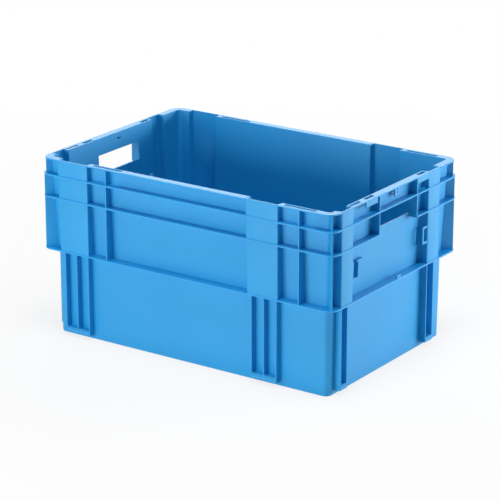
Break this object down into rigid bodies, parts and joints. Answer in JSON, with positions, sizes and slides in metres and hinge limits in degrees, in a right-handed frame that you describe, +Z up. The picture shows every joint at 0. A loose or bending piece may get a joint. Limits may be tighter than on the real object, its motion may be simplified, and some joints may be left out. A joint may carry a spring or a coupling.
{
  "type": "stack and nest storage crate",
  "caption": "Rigid open-topped plastic storage crate with a flared ribbed band, hand holes and half-turn columns and channels for stacking and nesting.",
  "frame": {"origin": "on the ground, under the middle of the crate", "axes": "+Z up, X along the long sides, Y along the ends, -Y is the front"},
  "size_m": [0.6, 0.4, 0.32],
  "materials": {
    "polypropylene": "moulded, fine texture, low sheen"
  },
  "bodies": {
    "root": {"card_clip_left": "polypropylene", "card_clip_right": "polypropylene", "channel_front_left": "polypropylene", "channel_front_right": "polypropylene", "channel_left_far": "polypropylene", "channel_left_near": "polypropylene", "channel_rear_left": "polypropylene", "channel_rear_right": "polypropylene", "channel_right_far": "polypropylene", "channel_right_near": "polypropylene", "corner_panel_front_left": "polypropylene", "corner_panel_front_right": "polypropylene", "corner_panel_rear_left": "polypropylene", "corner_panel_rear_right": "polypropylene", "end_panel_left": "polypropylene", "end_panel_right": "polypropylene", "flange_front": "polypropylene", "flange_left": "polypropylene", "flange_rear": "polypropylene", "flange_right": "polypropylene", "floor_grid": "polypropylene", "floor_plate": "polypropylene", "handle_frame_left": "polypropylene", "handle_frame_right": "polypropylene", "long_panel_front": "polypropylene", "long_panel_rear": "polypropylene", "lower_wall_front": "polypropylene", "lower_wall_left": "polypropylene", "lower_wall_rear": "polypropylene", "lower_wall_right": "polypropylene", "middle_rib_front": "polypropylene", "middle_rib_left_far": "polypropylene", "middle_rib_left_near": "polypropylene", "middle_rib_rear": "polypropylene", "middle_rib_right_far": "polypropylene", "middle_rib_right_near": "polypropylene", "rim_corner_front_left": "polypropylene", "rim_corner_front_right": "polypropylene", "rim_corner_rear_left": "polypropylene", "rim_corner_rear_right": "polypropylene", "rim_front": "polypropylene", "rim_left": "polypropylene", "rim_rear": "polypropylene", "rim_right": "polypropylene", "seal_lug_left": "polypropylene", "seal_lug_right": "polypropylene", "stack_column_front_left": "polypropylene", "stack_column_front_right": "polypropylene", "stack_column_left_far": "polypropylene", "stack_column_left_near": "polypropylene", "stack_column_rear_left": "polypropylene", "stack_column_rear_right": "polypropylene", "stack_column_right_far": "polypropylene", "stack_column_right_near": "polypropylene", "upper_rib_front": "polypropylene", "upper_rib_rear": "polypropylene", "upright_rib_front_left": "polypropylene", "upright_rib_front_right": "polypropylene", "upright_rib_rear_left": "polypropylene", "upright_rib_rear_right": "polypropylene"}
  },
  "joints": []
}
